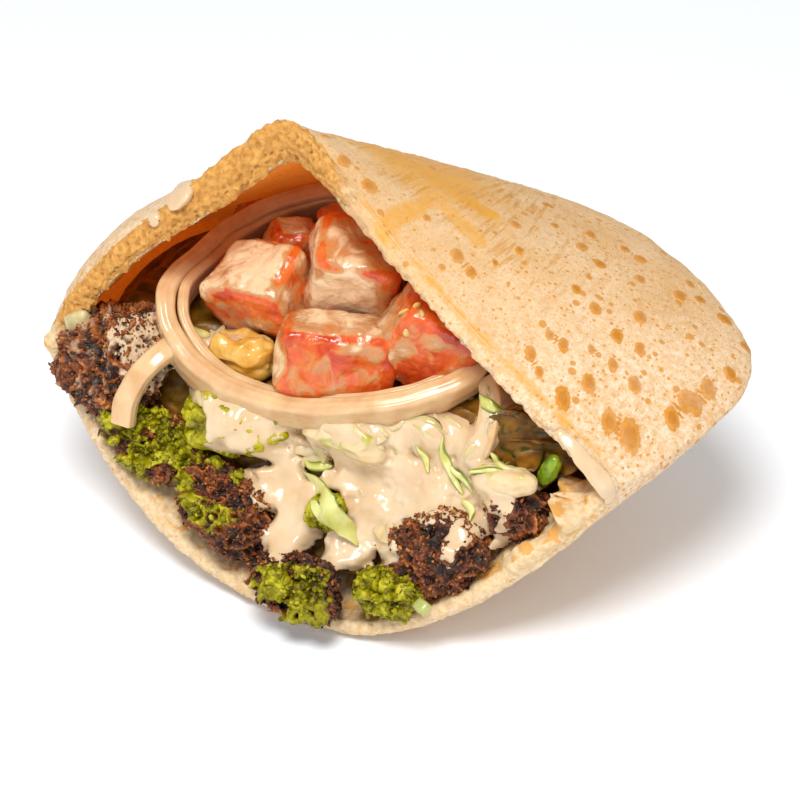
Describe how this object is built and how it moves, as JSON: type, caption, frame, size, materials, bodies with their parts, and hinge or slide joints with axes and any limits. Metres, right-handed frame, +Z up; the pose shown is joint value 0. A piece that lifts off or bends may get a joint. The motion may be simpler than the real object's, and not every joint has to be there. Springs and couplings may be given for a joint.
{
  "type": "falafel pita",
  "caption": "Half pita opened into a pocket, lying on its belly, heaped with broken falafel, diced tomato, onion, shredded salad and thick sesame sauce.",
  "frame": {"origin": "middle of the flat spot that the belly rests on", "axes": "+X along the mouth from its left corner to its right one, +Y from the mouth into the pocket, +Z up"},
  "size_m": [0.1416, 0.107, 0.0916],
  "materials": {
    "pita": "matt baked crust",
    "salad": "moist",
    "tahini": "glossy",
    "tomato": "wet",
    "onion": "moist",
    "falafel": "rough fried crust",
    "falafel_inside": "crumbly",
    "greens": "moist",
    "cucumber": "moist",
    "pickle": "moist"
  },
  "bodies": {
    "root": {"pita": "pita", "salad": "salad", "tahini": "tahini", "falafel_left": "falafel", "falafel_split_left": "falafel_inside", "falafel_split_middle": "falafel_inside", "falafel_front": "falafel_inside", "falafel_crumb": "falafel_inside", "falafel_right": "falafel", "falafel_far_right": "falafel", "falafel_coated": "falafel", "falafel_bit": "falafel_inside", "tomato_top": "tomato", "tomato_left": "tomato", "tomato_front": "tomato", "tomato_right": "tomato", "tomato_back": "tomato", "tomato_behind": "tomato", "tomato_shaded": "tomato", "onion_ring": "onion", "onion_arc": "onion", "onion_strip": "onion", "lettuce_shred": "greens", "cabbage_rib": "greens", "cabbage_florets": "greens", "pepper_pod": "greens", "pickle": "pickle", "cucumber_left": "cucumber", "cucumber_right": "cucumber", "cucumber_middle": "cucumber"}
  },
  "joints": []
}
